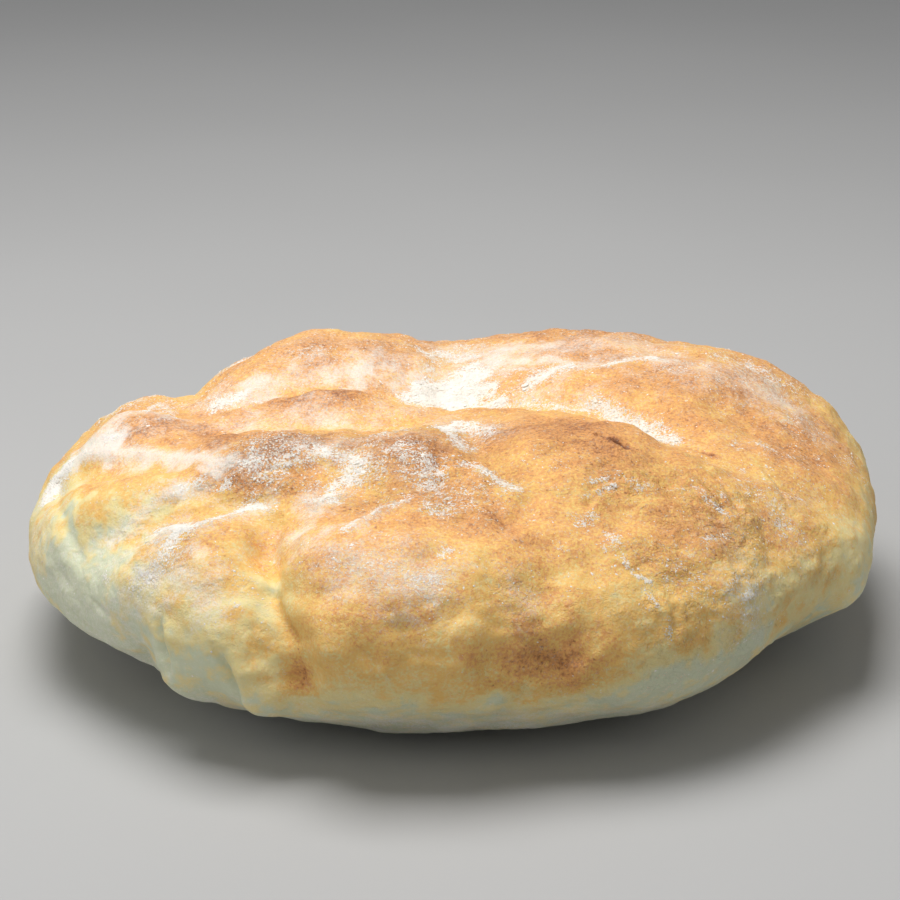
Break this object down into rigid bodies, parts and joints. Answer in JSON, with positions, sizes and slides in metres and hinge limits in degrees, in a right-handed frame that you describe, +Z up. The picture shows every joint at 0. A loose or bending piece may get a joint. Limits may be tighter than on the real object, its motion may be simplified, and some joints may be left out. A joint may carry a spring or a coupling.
{
  "type": "lepinja flatbread",
  "caption": "Round puffy white flatbread, golden and floury on top, its rim pinched into soft lobes round a hollow middle.",
  "frame": {"origin": "middle of the flat base it rests on, below the middle of its outline", "axes": "+Z up out of the top, +X to the right and -Y towards the viewer of the side with the deep fold"},
  "size_m": [0.1918, 0.1908, 0.0578],
  "materials": {
    "crust": "matte baked crust, golden tan with browned crests and a pale side",
    "flour": "dry white flour dust and grains lying on the crust"
  },
  "bodies": {
    "root": {"lepinja": "crust"}
  },
  "joints": []
}
